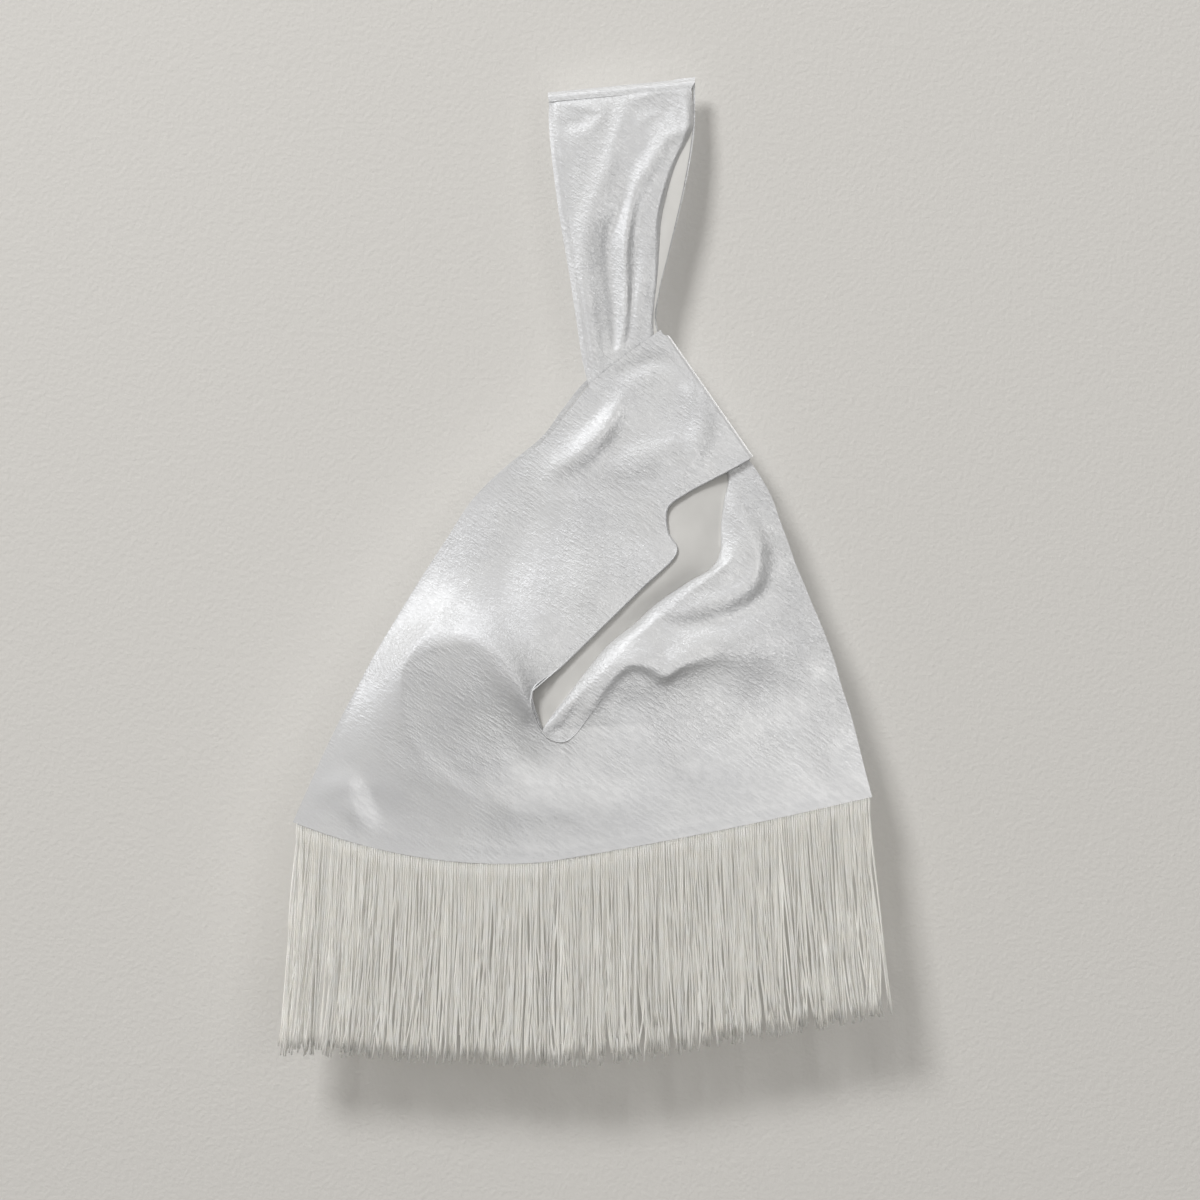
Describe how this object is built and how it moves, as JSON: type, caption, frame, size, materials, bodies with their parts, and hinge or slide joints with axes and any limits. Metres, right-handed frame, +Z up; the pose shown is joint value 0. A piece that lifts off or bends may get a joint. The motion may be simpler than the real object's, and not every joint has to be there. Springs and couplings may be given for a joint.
{
  "type": "japanese knot bag",
  "caption": "Small satin knot bag hanging from its long strap loop, which passes through the short loop; a strand fringe hangs from the hem.",
  "frame": {"origin": "the point that a hook holds: the middle of the inner top of the handle loop", "axes": "+Z up along the hanging bag, +X to the right of someone facing its front, the front faces -Y"},
  "size_m": [0.293, 0.0196, 0.4715],
  "materials": {
    "satin": "glossy crinkled satin",
    "lining": "smooth matte lining",
    "seam": "matte folded seam",
    "tape": "matte woven tape",
    "strand": "lustrous twisted strands"
  },
  "bodies": {
    "handle": {"handle_front_satin": "satin", "handle_front_lining": "lining", "handle_back_satin": "satin", "handle_back_lining": "lining", "handle_top_seam": "satin"},
    "knot": {"knot_front_satin": "satin", "knot_front_lining": "lining", "knot_back_satin": "satin", "knot_back_lining": "lining"},
    "bag": {"front_satin": "satin", "front_lining": "lining", "back_satin": "satin", "back_lining": "lining", "front_mouth_seam": "seam", "back_mouth_seam": "seam", "left_side_seam": "seam", "right_side_seam": "seam", "bottom_seam": "seam", "short_loop_end": "satin", "fringe_header": "tape"},
    "fringe": {"fringe_strands": "strand"}
  },
  "joints": [
    {"name": "handle_swing", "type": "hinge", "parent": "handle", "child": "knot", "pos_m": [-0.00056, 0, -0.11665], "axis": [0.7754, 0, 0.6315], "range_deg": [-60, 60]},
    {"name": "knot_slide", "type": "slide", "parent": "knot", "child": "bag", "axis": [-0.6315, 0, 0.7754], "range_m": [0, 0.008]},
    {"name": "fringe_swing", "type": "hinge", "parent": "bag", "child": "fringe", "pos_m": [-0.03642, 0, -0.3755], "axis": [1, 0, 0], "range_deg": [-75, 75]}
  ]
}
